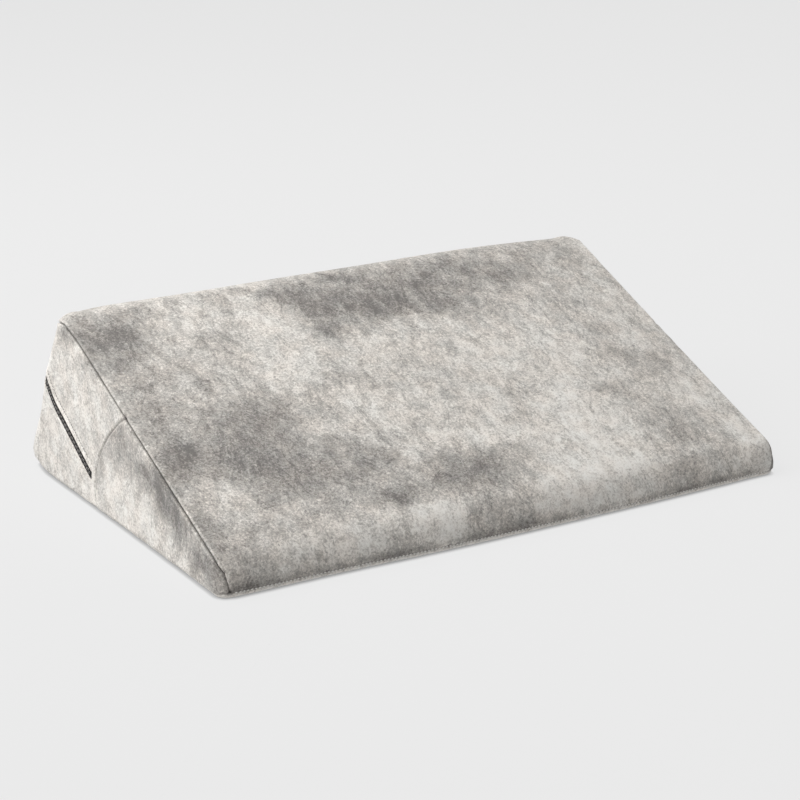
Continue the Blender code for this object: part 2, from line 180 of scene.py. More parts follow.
# %% One column of the wall
def edge_arc(start, corner, end, steps=12):
    """Round arc that leaves start and meets end along the two lines through their shared corner."""
    weight = math.cos((math.pi - (start - corner).angle(end - corner)) / 2)
    points = []
    for step in range(steps + 1):
        t = step / steps
        parts = ((1 - t) ** 2, 2 * weight * t * (1 - t), t ** 2)
        points.append((start * parts[0] + corner * parts[1] + end * parts[2]) / sum(parts))
    return points


def running_length(points):
    """Length along a row of points, 0 at the first."""
    return np.concatenate(([0], np.cumsum(np.linalg.norm(np.diff(points, axis=0), axis=1))))


def wall_column(a, b):
    """Points of one column from the floor up, their running length, and the anchors on it."""
    base_x, base_y, base_angle = base_outline.at(a, b)
    top_x, top_y, top_angle = top_outline.at(a, b)
    mirror = math.copysign(1, a)
    base, top = Vector((base_x, base_y, 0)), Vector((top_x, top_y, top_height(top_y)))
    up = (top - base).normalized()
    floor_in = Vector((-mirror * math.cos(base_angle), -math.sin(base_angle), 0))
    roof_in = Vector((-mirror * math.cos(top_angle), -math.sin(top_angle), 0))
    roof_in.z = roof_in.y * TOP_SLOPE
    roof_in.normalize()
    reach = float(np.interp(math.degrees(top_angle), (-90, -45, 0, 90), TOP_EDGE_REACHES))
    inward = min(max((HALF - FRONT_CORNER_RADIUS - abs(top_x)) / FRONT_REACH_RUN, 0), 1) * (b == 0)
    reach += FRONT_REACH_GROWTH * inward ** 2 * (3 - 2 * inward)
    from_corner = math.hypot(HALF - abs(base_x), REAR_Y - base_y) / BASE_CORNER_SPREAD
    low_reach = BASE_EDGE_REACH + BASE_CORNER_REACH * math.exp(-from_corner ** 2)
    low = edge_arc(base + floor_in * low_reach, base, base + up * low_reach)
    high = edge_arc(top - up * reach, top, top + roof_in * reach)
    points = np.array(low + [low[-1].lerp(high[0], step / 24) for step in range(1, 24)] + high)
    share = points[:, 2] / top.z
    swell = 4 * share * (1 - np.clip(share, 0, 1))
    near_band = 1 - abs(b - BAND_COLUMN) / (1 - BAND_COLUMN if b > BAND_COLUMN else BAND_COLUMN)
    points[:, 1] += BAND_SEAM_BOW * swell * near_band
    soft = CORNER_SOFTNESS * swell * math.sin(2 * base_angle) * (base_angle > 0)
    points[:, 0] -= mirror * math.cos(base_angle) * soft
    points[:, 1] -= math.sin(base_angle) * soft
    run = running_length(points)
    seam_heights = (SEAM_HEIGHT_FRONT, SEAM_HEIGHT_FRONT, SEAM_HEIGHT)
    seam_height = np.interp(math.degrees(base_angle), (-90, -60, -20), seam_heights)
    base_seam = float(np.interp(seam_height, points[:, 2], run))
    roll_start = run[-len(high)]
    middle = (roll_start + run[-1]) / 2
    top_seam = middle + (roll_start - REAR_SEAM_BELOW_ROLL - middle) * max(math.sin(top_angle), 0)
    top_seam -= CORNER_SEAM_DROP * max(1 - abs(top_angle + EIGHTH_TURN) / EIGHTH_TURN, 0) ** 2
    climb = np.clip((points[:, 1] - ZIP_CLIMB_Y) / ZIP_CLIMB_RUN, 0, 1)
    plane = ZIP_PLANE_Z + ZIP_PLANE_SLOPE * (points[:, 1] - ZIP_PLANE_Y)
    plane += ZIP_CLIMB * climb ** 2 * (3 - 2 * climb)
    zip_line = float(np.interp(0, points[:, 2] - plane, run))
    front_row = base_seam + (top_seam - base_seam) * FRONT_ZIP_ROW_SHARE
    zip_row = front_row + (zip_line - front_row) * min(b / BAND_COLUMN, 1) ** 2
    return points, run, (0.0, base_seam, zip_row, top_seam, float(run[-1]))


print("anchors of the middle rear column in mm:", [round(v * 1000) for v in wall_column(0, 1)[2]])

# %% [markdown]
# ## Rows that gather at the seams
# A sewn crease is 1 to 2 mm wide and the panels between are 100 times as wide, so an even grid would
# waste its faces. Subdividing only near a seam leaves triangles and poles. Here the rows of the grid
# themselves crowd together at each seam and at the zip, and spread out between them.

# %% Lengths of the rows on a column
SEAM_STEPS = np.array((0.0003, 0.0007, 0.0012, 0.0019, 0.0030))
ZIP_STEPS = np.array((0.0014, 0.0028, 0.0041, 0.0045, 0.0048, 0.0052, 0.0058, 0.0068, 0.0082))
TOPSTITCH_LINE = 0.0115
ABOVE_ZIP_STEPS = np.append(ZIP_STEPS, TOPSTITCH_LINE + np.array((-0.0013, -0.0006, 0, 0.0006, 0.0013)))
ZIP_ROOM = 0.0180
OPEN_ROWS = (6, 12, 12, 7)


def row_lengths(anchors):
    """Lengths of all rows on a column, from the floor to the top panel."""
    start, low, zip_row, high, end = anchors
    squeeze = min(1, (zip_row - low) / ZIP_ROOM, (high - zip_row) / ZIP_ROOM)
    knots = ((start, low, 0, SEAM_STEPS), (low, zip_row, SEAM_STEPS, ZIP_STEPS),
             (zip_row, high, ABOVE_ZIP_STEPS, SEAM_STEPS), (high, end, SEAM_STEPS, 0))
    lengths = []
    for (first, last, after, before), count in zip(knots, OPEN_ROWS):
        after = first + np.atleast_1d(after) * squeeze
        before = last - np.atleast_1d(before)[::-1] * squeeze
        between = np.linspace(after[-1], before[0], count + 2)[1:-1]
        lengths += [first] * int(first != start) + list(after[after > first]) + list(between)
        lengths += list(before[before < last])
    return np.array([start] + lengths + [end])


ROW_COUNT = len(row_lengths(wall_column(0, 1)[2]))
BASE_SEAM_ROW = OPEN_ROWS[0] + len(SEAM_STEPS) + 1
ZIP_ROW = BASE_SEAM_ROW + len(SEAM_STEPS) + OPEN_ROWS[1] + len(ZIP_STEPS) + 1
TOP_SEAM_ROW = ZIP_ROW + len(ABOVE_ZIP_STEPS) + OPEN_ROWS[2] + len(SEAM_STEPS) + 1
print("rows:", ROW_COUNT, "seams and zip at rows", BASE_SEAM_ROW, ZIP_ROW, TOP_SEAM_ROW)

# %% Columns that gather at the upright seams
def stations(*stretches):
    """Places from a list of (start, end, count), each start once, with the last end."""
    places = [value for first, last, count in stretches
              for value in np.linspace(first, last, count, endpoint=False)]
    return [round(float(value), 6) for value in places] + [float(stretches[-1][1])]


band_run = base_outline.side_run * (1 - base_outline.seam_share)
ZIP_START = BAND_COLUMN + (1 - BAND_COLUMN) * ZIP_END_GAP / band_run
across = stations((-1, -0.985, 4), (-0.985, -0.90, 9), (-0.90, 0.90, 126), (0.90, 0.985, 9), (0.985, 1, 4))
along = stations((0, 0.012, 4), (0.012, 0.06, 5), (0.06, 0.522, 40), (0.522, BAND_COLUMN, 7),
                 (BAND_COLUMN, ZIP_START - 0.002, 6), (ZIP_START - 0.002, ZIP_START + 0.002, 4),
                 (ZIP_START + 0.002, 0.90, 30), (0.90, 1, 13))
rim = ([(a, 0) for a in across] + [(1, b) for b in along[1:-1]]
       + [(a, 1) for a in reversed(across)] + [(-1, b) for b in reversed(along[1:-1])])
print("columns round the rim:", len(rim))

# %% [markdown]
# ## The whole skin as one grid
# The wall is a ring of columns, and the top and the base are filled in between their four edges, by
# blending front with rear and left with right. Columns crowd together at a round corner, so the
# lines that start there fan out to even steps within the panel, or they would pile up along the
# front. After that the fullness is added: the crown, sides that draw in, a front edge that bows.

# %% Points of the wall and of both panels
wall = np.zeros((len(rim), ROW_COUNT, 3))
wall_run = np.zeros((len(rim), ROW_COUNT))
for index, (a, b) in enumerate(rim):
    points, run, anchors = wall_column(a, b)
    lengths = row_lengths(anchors)
    wall_run[index] = lengths - anchors[1]
    for axis in range(3):
        wall[index, :, axis] = np.interp(lengths, run, points[:, axis])

A, B = len(across), len(along)
FRONT_SIDE = list(range(A))
RIGHT_SIDE = [A - 1] + list(range(A, A + B - 2)) + [A + B - 2]
REAR_SIDE = list(range(2 * A + B - 3, A + B - 3, -1))
LEFT_SIDE = [0] + list(range(len(rim) - 1, 2 * A + B - 3, -1)) + [2 * A + B - 3]


def share_of(values):
    """Progress of each value from the first to the last, 0 to 1."""
    return (values - values[0]) / (values[-1] - values[0])


def panel_between(row, outline, height):
    """A panel's points, shaped (A, B, 3), between the four edges that the wall gives it at a row."""
    front, rear = wall[FRONT_SIDE, row], wall[REAR_SIDE, row]
    left, right = wall[LEFT_SIDE, row], wall[RIGHT_SIDE, row]
    at_edge, even = share_of(left[:, 1]), np.interp(along, (0, BAND_COLUMN, 1), (0, outline.seam_share, 1))
    from_side = np.minimum((1 - abs(np.array(across))) / FAN_WIDTH, 1)[:, None]
    s = at_edge + (even - at_edge) * from_side ** 2 * (3 - 2 * from_side)
    t = share_of(front[:, 0])[:, None] * (1 - s) + share_of(rear[:, 0])[:, None] * s
    x = left[:, 0] * (1 - t) + right[:, 0] * t
    y = front[:, [1]] * (1 - s) + rear[:, [1]] * s
    return np.stack((x, y, height(y)), axis=2)


FAN_WIDTH = 0.3
base_panel = panel_between(0, base_outline, np.zeros_like)
top_panel = panel_between(-1, top_outline, top_height)
print("panel points:", A * B, "wall points:", len(rim) * ROW_COUNT)

# %% Fullness of the foam
def filled(points):
    """The same points after the cover's fullness: crown, drawn-in sides and bowed front edge."""
    x, y, z = points.T
    side = 1 - (x / HALF) ** 2
    level = np.clip(z / top_height(y), 0, 1)
    depth = np.maximum((y - FRONT_Y) / (REAR_Y - FRONT_Y), 0)
    draw = SIDE_DRAW_IN_BASE + (SIDE_DRAW_IN_TOP - SIDE_DRAW_IN_BASE) * level
    forward = np.clip((BOW_END_Y - y) / (BOW_END_Y - FRONT_Y), 0, 1)
    rise = np.sin(np.minimum(depth / CROWN_RISE_SHARE, 1) * math.pi / 2)
    return np.stack((x - x / HALF * draw * np.maximum(4 * depth * (1 - depth), 0),
                     y - FRONT_BOW * side * forward,
                     z + TOP_CROWN * side * rise * level ** 3), axis=1)


# Small unevenness of a real filled cover: centre, radius and move of each soft push, in metres
PUSHES = (
    ((0.170, 0.120, 0.170), 0.120, (0, 0.0005, 0.0030)),
    ((-0.180, 0.130, 0.170), 0.090, (0, 0, -0.0012)),
    ((-0.300, 0.115, 0.178), 0.030, (0, -0.0010, -0.0042)),
    ((-0.295, 0.155, 0.110), 0.040, (-0.0022, 0.0012, 0)),
    ((-0.285, 0.200, 0.035), 0.028, (-0.0022, 0.0020, 0)),
    ((-0.190, -0.215, 0.012), 0.080, (0, 0.0025, 0)),
    ((0.200, -0.215, 0.015), 0.120, (0, -0.0010, 0)),
    ((0.303, -0.214, 0.011), 0.015, (0.0060, -0.0020, -0.0010)),
)


def pushed(points):
    """The same points after every soft push."""
    moved = points.copy()
    for centre, radius, move in PUSHES:
        away = np.linalg.norm(points - np.array(centre), axis=1)
        moved += np.exp(-(away / radius) ** 2)[:, None] * np.array(move)
    return moved


wall_points = len(rim) * ROW_COUNT
inner = [(i, j) for i in range(1, A - 1) for j in range(1, B - 1)]
picked = tuple(np.array(inner).T)
skin = np.concatenate((wall.reshape(-1, 3), base_panel[picked], top_panel[picked]))
skin = pushed(filled(skin))
print("skin points:", len(skin))

# %% Faces of the grid
def grid_index(i, j, row, first):
    """Number of a panel's point: a wall point on its rim, or else one of its inner points."""
    edge = {0: FRONT_SIDE[i], B - 1: REAR_SIDE[i]}.get(j)
    if edge is None:
        edge = {0: LEFT_SIDE[j], A - 1: RIGHT_SIDE[j]}.get(i)
    if edge is None:
        return first + (i - 1) * (B - 2) + j - 1
    return edge * ROW_COUNT + row


def skin_faces():
    """Quads of the wall, the base panel and the top panel, all facing outward."""
    faces = []
    for k in range(len(rim)):
        here, there = k * ROW_COUNT, (k + 1) % len(rim) * ROW_COUNT
        faces += [(here + r, there + r, there + r + 1, here + r + 1) for r in range(ROW_COUNT - 1)]
    for row, first, turn in ((0, wall_points, -1), (ROW_COUNT - 1, wall_points + len(inner), 1)):
        numbers = [[grid_index(i, j, row, first) for j in range(B)] for i in range(A)]
        for i in range(A - 1):
            for j in range(B - 1):
                quad = (numbers[i][j], numbers[i + 1][j], numbers[i + 1][j + 1], numbers[i][j + 1])
                faces.append(quad[::turn])
    return faces


cover_mesh = bpy.data.meshes.new("plush_cover")
cover_mesh.from_pydata(skin.tolist(), [], skin_faces())
cover_mesh.shade_smooth()
cover = linked("plush_cover", cover_mesh)
print("faces of the cover:", len(cover_mesh.polygons))

# %% [markdown]
# ## Cloth simulation for the fullness
# Between its seams a filled cover swells a little, more in the middle of a panel than by the thread.
# That could be drawn as bumps, but Blender's Cloth with air pressure finds it by itself. The fine
# grid would take minutes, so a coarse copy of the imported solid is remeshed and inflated, its points
# near a seam are held, and the movement is then carried over to the fine grid, scaled so that its
# largest is 2 mm.

# %% Points held by the thread
def seam_points():
    """Points of the fine grid that lie on a seam, for holding the coarse cloth."""
    held = []
    for k, (a, b) in enumerate(rim):
        rows = [BASE_SEAM_ROW] + [TOP_SEAM_ROW] * (b != 0 or abs(a) == 1)
        if abs(a) == 1 and b in (0, BAND_COLUMN):
            rows = range(BASE_SEAM_ROW, TOP_SEAM_ROW + 1)
        held += [k * ROW_COUNT + row for row in rows]
    return held


HOLD_RADIUS, VOXEL = 0.009, 0.009
coarse = linked("coarse_cloth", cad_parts["wedge_pillow"].data.copy())
remesh = coarse.modifiers.new("even_grid", "REMESH")
remesh.mode = "VOXEL"
remesh.voxel_size = VOXEL
bpy.context.view_layer.update()
shape = coarse.evaluated_get(bpy.context.evaluated_depsgraph_get())
coarse.data = bpy.data.meshes.new_from_object(shape)
coarse.modifiers.clear()
seam_tree = KDTree(len(seam_points()))
for number in seam_points():
    seam_tree.insert(Vector(skin[number]), number)
seam_tree.balance()
hold = coarse.vertex_groups.new(name="thread")
for vert in coarse.data.vertices:
    away = seam_tree.find(vert.co)[2]
    grip = 1 - min(away / HOLD_RADIUS, 1) ** 2
    flat = vert.co.z < BASE_EDGE_REACH / 2
    hold.add([vert.index], 1.0 if flat else grip, "REPLACE")
print("points of the coarse cloth:", len(coarse.data.vertices))

# %% Inflate the coarse cloth
CLOTH_PRESSURE, CLOTH_FRAMES, LARGEST_MOVE = 4.0, 20, 0.0020
TENSION, BENDING, QUALITY_STEPS = 40, 4, 6


def inflate(cloth_object):
    """Movement of each point after the cloth has swollen for a few frames."""
    before = np.array([vert.co for vert in cloth_object.data.vertices])
    cloth = cloth_object.modifiers.new("plush", "CLOTH")
    cloth.settings.use_pressure = True
    cloth.settings.uniform_pressure_force = CLOTH_PRESSURE
    cloth.settings.effector_weights.gravity = 0
    cloth.settings.vertex_group_mass = "thread"
    cloth.settings.tension_stiffness = TENSION
    cloth.settings.bending_stiffness = BENDING
    cloth.settings.quality = QUALITY_STEPS
    for step in range(1, CLOTH_FRAMES + 1):
        bpy.context.scene.frame_set(step)
    done = cloth_object.evaluated_get(bpy.context.evaluated_depsgraph_get())
    after = np.array([vert.co for vert in done.data.vertices])
    cloth_object.modifiers.clear()
    bpy.context.scene.frame_set(1)
    return after - before


swell = inflate(coarse)
travel = np.linalg.norm(swell, axis=1)
print("largest swelling in mm:", round(travel.max() * 1000, 1), "mean", round(travel.mean() * 1000, 2))
swell *= LARGEST_MOVE / travel.max()
tree = BVHTree.FromObject(coarse, bpy.context.evaluated_depsgraph_get())
faces = [tuple(face.vertices) for face in coarse.data.polygons]
for number, point in enumerate(skin):
    face = faces[tree.find_nearest(Vector(point))[2]]
    corners = np.array([coarse.data.vertices[v].co for v in face])
    nearness = 1 / (np.linalg.norm(corners - point, axis=1) + 1e-5)
    skin[number] += (swell[list(face)] * nearness[:, None]).sum(0) / nearness.sum()
print("scaled down to mm:", LARGEST_MOVE * 1000)
bpy.data.objects.remove(coarse)

# %% [markdown]
# ## Sewn seams
# Each seam pulls the plush into a narrow crease, and the cloth rolls up a little on both sides. A
# normal map could fake it, but the crease has to show in the outline too, so the points near a seam
# really move along their normals. Every point knows how far it lies from each seam, because its row
# and its column were laid out from the seams in the first place.

# %% Distance of each wall point from the seams
def smooth_step(value, low, high):
    """0 below low, 1 above high, and a smooth rise between."""
    t = np.clip((value - low) / (high - low), 0, 1)
    return t * t * (3 - 2 * t)


rim_a, rim_b = np.array(rim, dtype=float).T
at_front = (rim_b == 0) & (abs(rim_a) < 1)
ring_step = np.linalg.norm(np.diff(wall, axis=0, append=wall[:1]), axis=2)
ring_run = np.cumsum(ring_step, axis=0) - ring_step
ring_length = ring_step.sum(axis=0)
# A distance in metres that is beyond every seam
FAR = 9.0


def upright_distance(b_place):
    """Distance along the ring to the nearer of the two upright seams at b_place, for each point."""
    nearest = np.full(wall_run.shape, FAR)
    for k in np.nonzero((abs(rim_a) == 1) & (rim_b == b_place))[0]:
        away = abs(ring_run - ring_run[k])
        nearest = np.minimum(nearest, np.minimum(away, ring_length - away))
    return nearest


to_base = abs(wall_run)
to_top = abs(wall_run - wall_run[:, [TOP_SEAM_ROW]])
to_zip = wall_run - wall_run[:, [ZIP_ROW]]
to_corner, to_band = upright_distance(0), upright_distance(BAND_COLUMN)
between_seams = ((wall_run > 0) & (wall_run < wall_run[:, [TOP_SEAM_ROW]])).astype(float)
print("wall points between the seams:", int(between_seams.sum()))

# %% Depth of the creases and of the zip's channel
CREASE_DEPTH, CREASE_WIDTH, ROLL_HEIGHT, ROLL_AT, ROLL_WIDTH = 0.0024, 0.0009, 0.0004, 0.0026, 0.0014
CHANNEL_DEPTH, CHANNEL_EDGE, LIP_HEIGHT, LIP_AT, LIP_WIDTH = 0.0020, 0.0048, 0.0006, 0.0062, 0.0012
BASE_CREASE, TOP_CREASE, BAND_CREASE, LEFT_CORNER_CREASE, RIGHT_CORNER_CREASE = 0.45, 1.0, 0.5, 0.7, 0.2
GROOVE_DEPTH, GROOVE_WIDTH, EDGE_SOFTNESS, ZIP_END_SOFTNESS = 0.0005, 0.0007, 0.0003, 0.0016
BAND_PIT, CORNER_PIT, PIT_RADIUS = 0.0016, 0.0026, 0.0026


def crease(away, strength=1.0):
    """How far the thread pulls the cloth in, with the soft roll beside it counted off."""
    pulled = CREASE_DEPTH * np.exp(-(away / CREASE_WIDTH) ** 1.5)
    return strength * (pulled - ROLL_HEIGHT * np.exp(-((away - ROLL_AT) / ROLL_WIDTH) ** 2))


depth = crease(to_base, BASE_CREASE)
depth += np.where(at_front[:, None], 0, crease(to_top, TOP_CREASE))
corner_crease = np.where(rim_a > 0, RIGHT_CORNER_CREASE, LEFT_CORNER_CREASE)[:, None]
depth += between_seams * crease(to_corner, corner_crease)
depth += between_seams * crease(to_band, BAND_CREASE)
in_zip = smooth_step(rim_b, ZIP_START - ZIP_END_SOFTNESS, ZIP_START + ZIP_END_SOFTNESS)[:, None]
past_edge = smooth_step(abs(to_zip), CHANNEL_EDGE - EDGE_SOFTNESS, CHANNEL_EDGE + EDGE_SOFTNESS)
channel = CHANNEL_DEPTH * (1 - past_edge)
lip = LIP_HEIGHT * np.exp(-((abs(to_zip) - LIP_AT) / LIP_WIDTH) ** 2)
groove = GROOVE_DEPTH * np.exp(-((to_zip - TOPSTITCH_LINE) / GROOVE_WIDTH) ** 2)
depth += in_zip * (channel - lip + groove)

# Small pits where three panels meet, at the top of each band seam and at the left front corner;
# the painted crease shade darkens them
for k in np.nonzero((abs(rim_a) == 1) & ((rim_b == BAND_COLUMN) | (rim_b == 0)))[0]:
    row, pit = (TOP_SEAM_ROW, BAND_PIT) if rim_b[k] else (BASE_SEAM_ROW, CORNER_PIT * float(rim_a[k] < 0))
    away = np.linalg.norm(wall - wall[k, row], axis=2)
    depth += pit * np.exp(-(away / PIT_RADIUS) ** 2)
print("deepest crease in mm:", round(float(depth.max()) * 1000, 1))

# %% Puckers beside the seams
PUCKER_HEIGHT, PUCKER_REACH, PUCKER_LENGTH = 0.00035, 0.011, 0.011
nearest_seam = np.minimum(np.where(at_front[:, None], to_base, np.minimum(to_base, to_top)),
                          np.where(between_seams > 0, to_band, FAR))
ripple = np.array([[noise.noise(Vector(point) / PUCKER_LENGTH) for point in column] for column in wall])
depth -= ripple * PUCKER_HEIGHT * np.exp(-(nearest_seam / PUCKER_REACH) ** 2)

cover_mesh.vertices.foreach_set("co", skin.ravel())
cover_mesh.update()
normals = np.zeros(len(skin) * 3)
cover_mesh.vertices.foreach_get("normal", normals)
normals = normals.reshape(-1, 3)
smooth_skin = skin.copy()
skin[:wall_points] -= normals[:wall_points] * depth.reshape(-1)[:, None]
skin[:, 2] = np.maximum(skin[:, 2], 0.0)
cover_mesh.vertices.foreach_set("co", skin.ravel())
cover_mesh.update()
print("lowest point of the cover in mm:", round(float(skin[:, 2].min()) * 1000, 2))

# %% [markdown]
# ## Marbled dye
# The plush is dyed in soft grey clouds on a warm light ground. An image would be the quick way, but
# a table of about a hundred clouds, each placed in millimetres with its size and strength,
# keeps the pattern editable, and fractal noise gives the clouds their ragged edges. The value is
# stored at the points of the mesh, and the material adds everything finer than a point.

# %% Clouds of the top panel: x, y, half width, half depth in mm, strength in percent
# The thin clouds at y -205 to -217 mm lie on the front roll: there they partly paint its shade, darker where
# positive and paler where negative
TOP_CLOUDS = (
    (-287, 62, 34, 44, 85), (-252, 76, 18, 20, 45), (-232, 97, 9, 8, 45), (-155, 97, 10, 8, 40),
    (-124, 99, 16, 6, 65), (-143, 79, 5, 6, 60), (-100, 90, 9, 8, 50), (-174, 42, 24, 18, 35),
    (-84, 84, 16, 15, 45), (-60, 76, 22, 24, 55), (-62, 27, 15, 13, 65), (-5, 86, 60, 32, 65),
    (28, 52, 60, 20, 42), (60, 66, 45, 24, 30), (88, 36, 38, 11, 50), (112, 84, 52, 30, 60),
    (160, 84, 34, 26, 25), (172, 64, 20, 10, 30), (222, 84, 55, 30, 40), (208, 16, 44, 28, 22),
    (232, -30, 14, 12, 50), (222, -63, 20, 16, 55), (254, -84, 20, 28, 40), (284, -60, 16, 30, 20),
    (208, -116, 32, 22, 35), (164, -105, 18, 9, 30), (216, -164, 46, 22, 50), (240, -192, 40, 14, 15),
    (-206, -58, 48, 20, 40), (-282, -86, 30, 24, 65), (-232, -88, 40, 26, 45), (-182, -78, 30, 32, 45),
    (-216, -120, 28, 22, 45), (-158, -128, 62, 26, 55), (-192, -153, 52, 13, 50), (-108, -142, 32, 20, 35),
    (-2, -170, 42, 27, 60), (-56, -172, 36, 20, 45), (-102, -178, 18, 16, 35), (-30, -188, 44, 14, 35),
    (-268, -22, 24, 20, 25), (-265, -4, 6, 11, 50), (-76, -36, 32, 11, 30), (-42, -53, 18, 6, 30),
    (76, -94, 28, 9, 25), (-288, -208, 26, 18, 25), (-116, -217, 62, 7, 30), (-40, -217, 42, 7, 30),
    (190, -214, 55, 8, 15), (100, 20, 40, 16, 20), (-130, 20, 22, 10, 15), (20, -60, 26, 12, 15),
    (-294, -140, 16, 34, 50), (-296, -176, 16, 28, 40), (-262, 20, 40, 56, 22), (-284, -40, 20, 20, 45),
    (-204, -10, 16, 14, 35), (-262, 62, 22, 24, 15), (-246, -116, 24, 14, 30), (0, 36, 24, 12, 30),
    (-222, -2, 20, 24, 15), (-42, 48, 40, 16, 45), (-10, 54, 22, 14, 22), (-124, -61, 26, 20, 55),
    (-160, -182, 56, 13, 35), (34, 38, 26, 14, 35), (96, 16, 30, 24, 15), (257, -142, 26, 22, -35),
    (282, -196, 22, 30, -35), (112, -208, 62, 18, -50), (40, -206, 40, 14, -30), (-150, -206, 40, 12, -25),
    (262, -40, 24, 26, -15), (-20, -140, 44, 20, -22), (-90, -166, 22, 26, -20), (184, 86, 14, 10, -20),
    (-78, -214, 22, 16, -75), (-240, -214, 32, 8, 30), (0, -216, 20, 8, 25), (185, -215, 26, 8, 35),
    (-225, -210, 22, 12, -30), (-272, -98, 30, 18, 35), (-262, -186, 30, 18, 45), (-120, -190, 14, 12, 70),
    (300, -208, 14, 20, -60), (40, -150, 28, 12, -30), (100, -190, 50, 16, -20), (-106, -78, 16, 14, 20),
    (-52, 22, 30, 14, 38), (-2, 100, 22, 8, 30), (-68, 62, 22, 12, 20), (-180, 20, 110, 100, 7),
    (180, -60, 140, 110, -10), (-105, 50, 55, 40, -20), (-120, -26, 34, 16, -25), (-86, -76, 38, 26, -20),
    (132, -122, 38, 28, -30), (120, -166, 52, 22, -25), (-282, -136, 28, 16, -20), (-84, -208, 26, 10, -20),
    (-132, -76, 16, 22, -20),
)
GROUND, CLOUD_DEPTH, CLOUD_EDGE = 0.20, 0.62, 0.9


def fractal(points, size, octaves=4):
    """Fractal noise from about -1 to 1 at points, for features of a size in metres."""
    return np.array([noise.fractal(Vector(point) / size, 1.0, 2.0, octaves) for point in points])


def clouds_at(table, u, v):
    """Strength of a table's clouds at places in mm."""
    centre_u, centre_v, half_u, half_v, percent = np.array(table).T[:, None, :]
    away = ((u[:, None] - centre_u) / half_u) ** 2 + ((v[:, None] - centre_v) / half_v) ** 2
    return (percent / 100 * np.exp(-away * CLOUD_EDGE)).sum(axis=1)


print("clouds on the top:", len(TOP_CLOUDS))

# %% Clouds of the side panels and the band: y, z, half depth, half height in mm, strength in percent
SIDE_CLOUDS = (
    (-20, 82, 42, 22, 30), (22, 62, 16, 26, 30), (-90, 72, 40, 16, 30), (-140, 50, 30, 12, 25),
    (-200, 16, 22, 18, 45), (-50, 28, 50, 16, -22), (20, 24, 20, 16, -15), (-120, 22, 40, 14, -10),
    (-118, 62, 34, 14, 25), (-146, 44, 20, 12, 12), (-128, 34, 10, 20, 30), (-168, 16, 12, 14, 30),
    (-96, 50, 12, 16, 35), (71, 135, 14, 12, -30), (6, 16, 14, 12, -25), (-184, 22, 18, 12, 25),
    (16, 66, 10, 36, -45), (45, 136, 42, 11, 35), (100, 156, 24, 10, 45), (10, 116, 18, 9, 25),
)
# Each panel's dye ground, partly the cloth's own and partly painted light: set per panel to how the light
# falls on it, paler on the base, which faces the floor
PANEL_GROUND_AND_PAINTED_LIGHT = {"side": 0.22, "band": 0.08, "base": -0.10}
inside_wall = between_seams.reshape(-1) > 0
column_b, column_a = np.repeat(rim_b, ROW_COUNT), np.repeat(rim_a, ROW_COUNT)
at_side = abs(column_a) == 1
base_inner, top_inner = np.ones(len(inner), bool), np.zeros(len(inner), bool)
below_base = np.concatenate((wall_run.reshape(-1) <= 0, base_inner, top_inner))
is_band = np.zeros(len(skin), bool)
is_band[:wall_points] = inside_wall & ((column_b > BAND_COLUMN) | (column_b == 1))
is_side = np.zeros(len(skin), bool)
is_side[:wall_points] = inside_wall & at_side & (column_b <= BAND_COLUMN)
is_top = ~(below_base | is_band | is_side)
print("points on top, side, band:", int(is_top.sum()), int(is_side.sum()), int(is_band.sum()))

# %% Store the dye, with the painted shade and light, at the points
SEAM_SHADOW, PAINTED_RIDGE_HIGHLIGHT, RIDGE_AT, RIDGE_WIDTH = 0.12, 0.07, 0.0022, 0.0009
FRONT_SHADOW, FRONT_PAINTED_LIGHT = 0.50, 0.10
DYE_FLOOR, FLOOR_BEND = -0.03, 0.05
SHADOW_START, SHADOW_LENGTH, FRONT_SHADOW_LENGTH = 0.001, 0.0075, 0.007
BEND_SIZE, BEND_MM, BLOTCH_SIZE, BLOTCH_STRENGTH = 0.045, 9.0, 0.030, 0.10
bend = np.stack([fractal(smooth_skin + shift, BEND_SIZE) for shift in (0.0, 3.7)], axis=1) * BEND_MM
x_mm, y_mm, z_mm = smooth_skin.T * 1000
dye_and_painted_light = np.zeros(len(skin))
on_top = clouds_at(TOP_CLOUDS, x_mm[is_top] + bend[is_top, 0], y_mm[is_top] + bend[is_top, 1])
dye_and_painted_light[is_top] = GROUND + CLOUD_DEPTH * on_top
walls = is_side | is_band
dye_and_painted_light[walls] = clouds_at(SIDE_CLOUDS, y_mm[walls] + bend[walls, 0], z_mm[walls] + bend[walls, 1])
dye_and_painted_light[is_side] += PANEL_GROUND_AND_PAINTED_LIGHT["side"]
dye_and_painted_light[is_band] += PANEL_GROUND_AND_PAINTED_LIGHT["band"]
dye_and_painted_light[below_base] = PANEL_GROUND_AND_PAINTED_LIGHT["base"]
dye_and_painted_light += BLOTCH_STRENGTH * fractal(smooth_skin * np.array((1.0, 0.65, 1.0)), BLOTCH_SIZE)
# Painted shade: grey just under the top seam; painted highlight: a paler line on every seam's ridge
painted_shade_under_seam = np.exp(-(np.clip(to_top - SHADOW_START, 0, None) / SHADOW_LENGTH) ** 2)
painted_shade_under_seam = painted_shade_under_seam * (rim_b > 0)[:, None] * between_seams
upright_away = np.where(between_seams > 0, np.minimum(to_corner, to_band), FAR)
ridge_away = np.minimum(np.minimum(to_base, to_top), upright_away)
painted_ridge_highlight = np.exp(-((ridge_away - RIDGE_AT) / RIDGE_WIDTH) ** 2)
painted_ridge_highlight = painted_ridge_highlight * np.where(at_front[:, None] & (to_top < to_base), 0, 1)
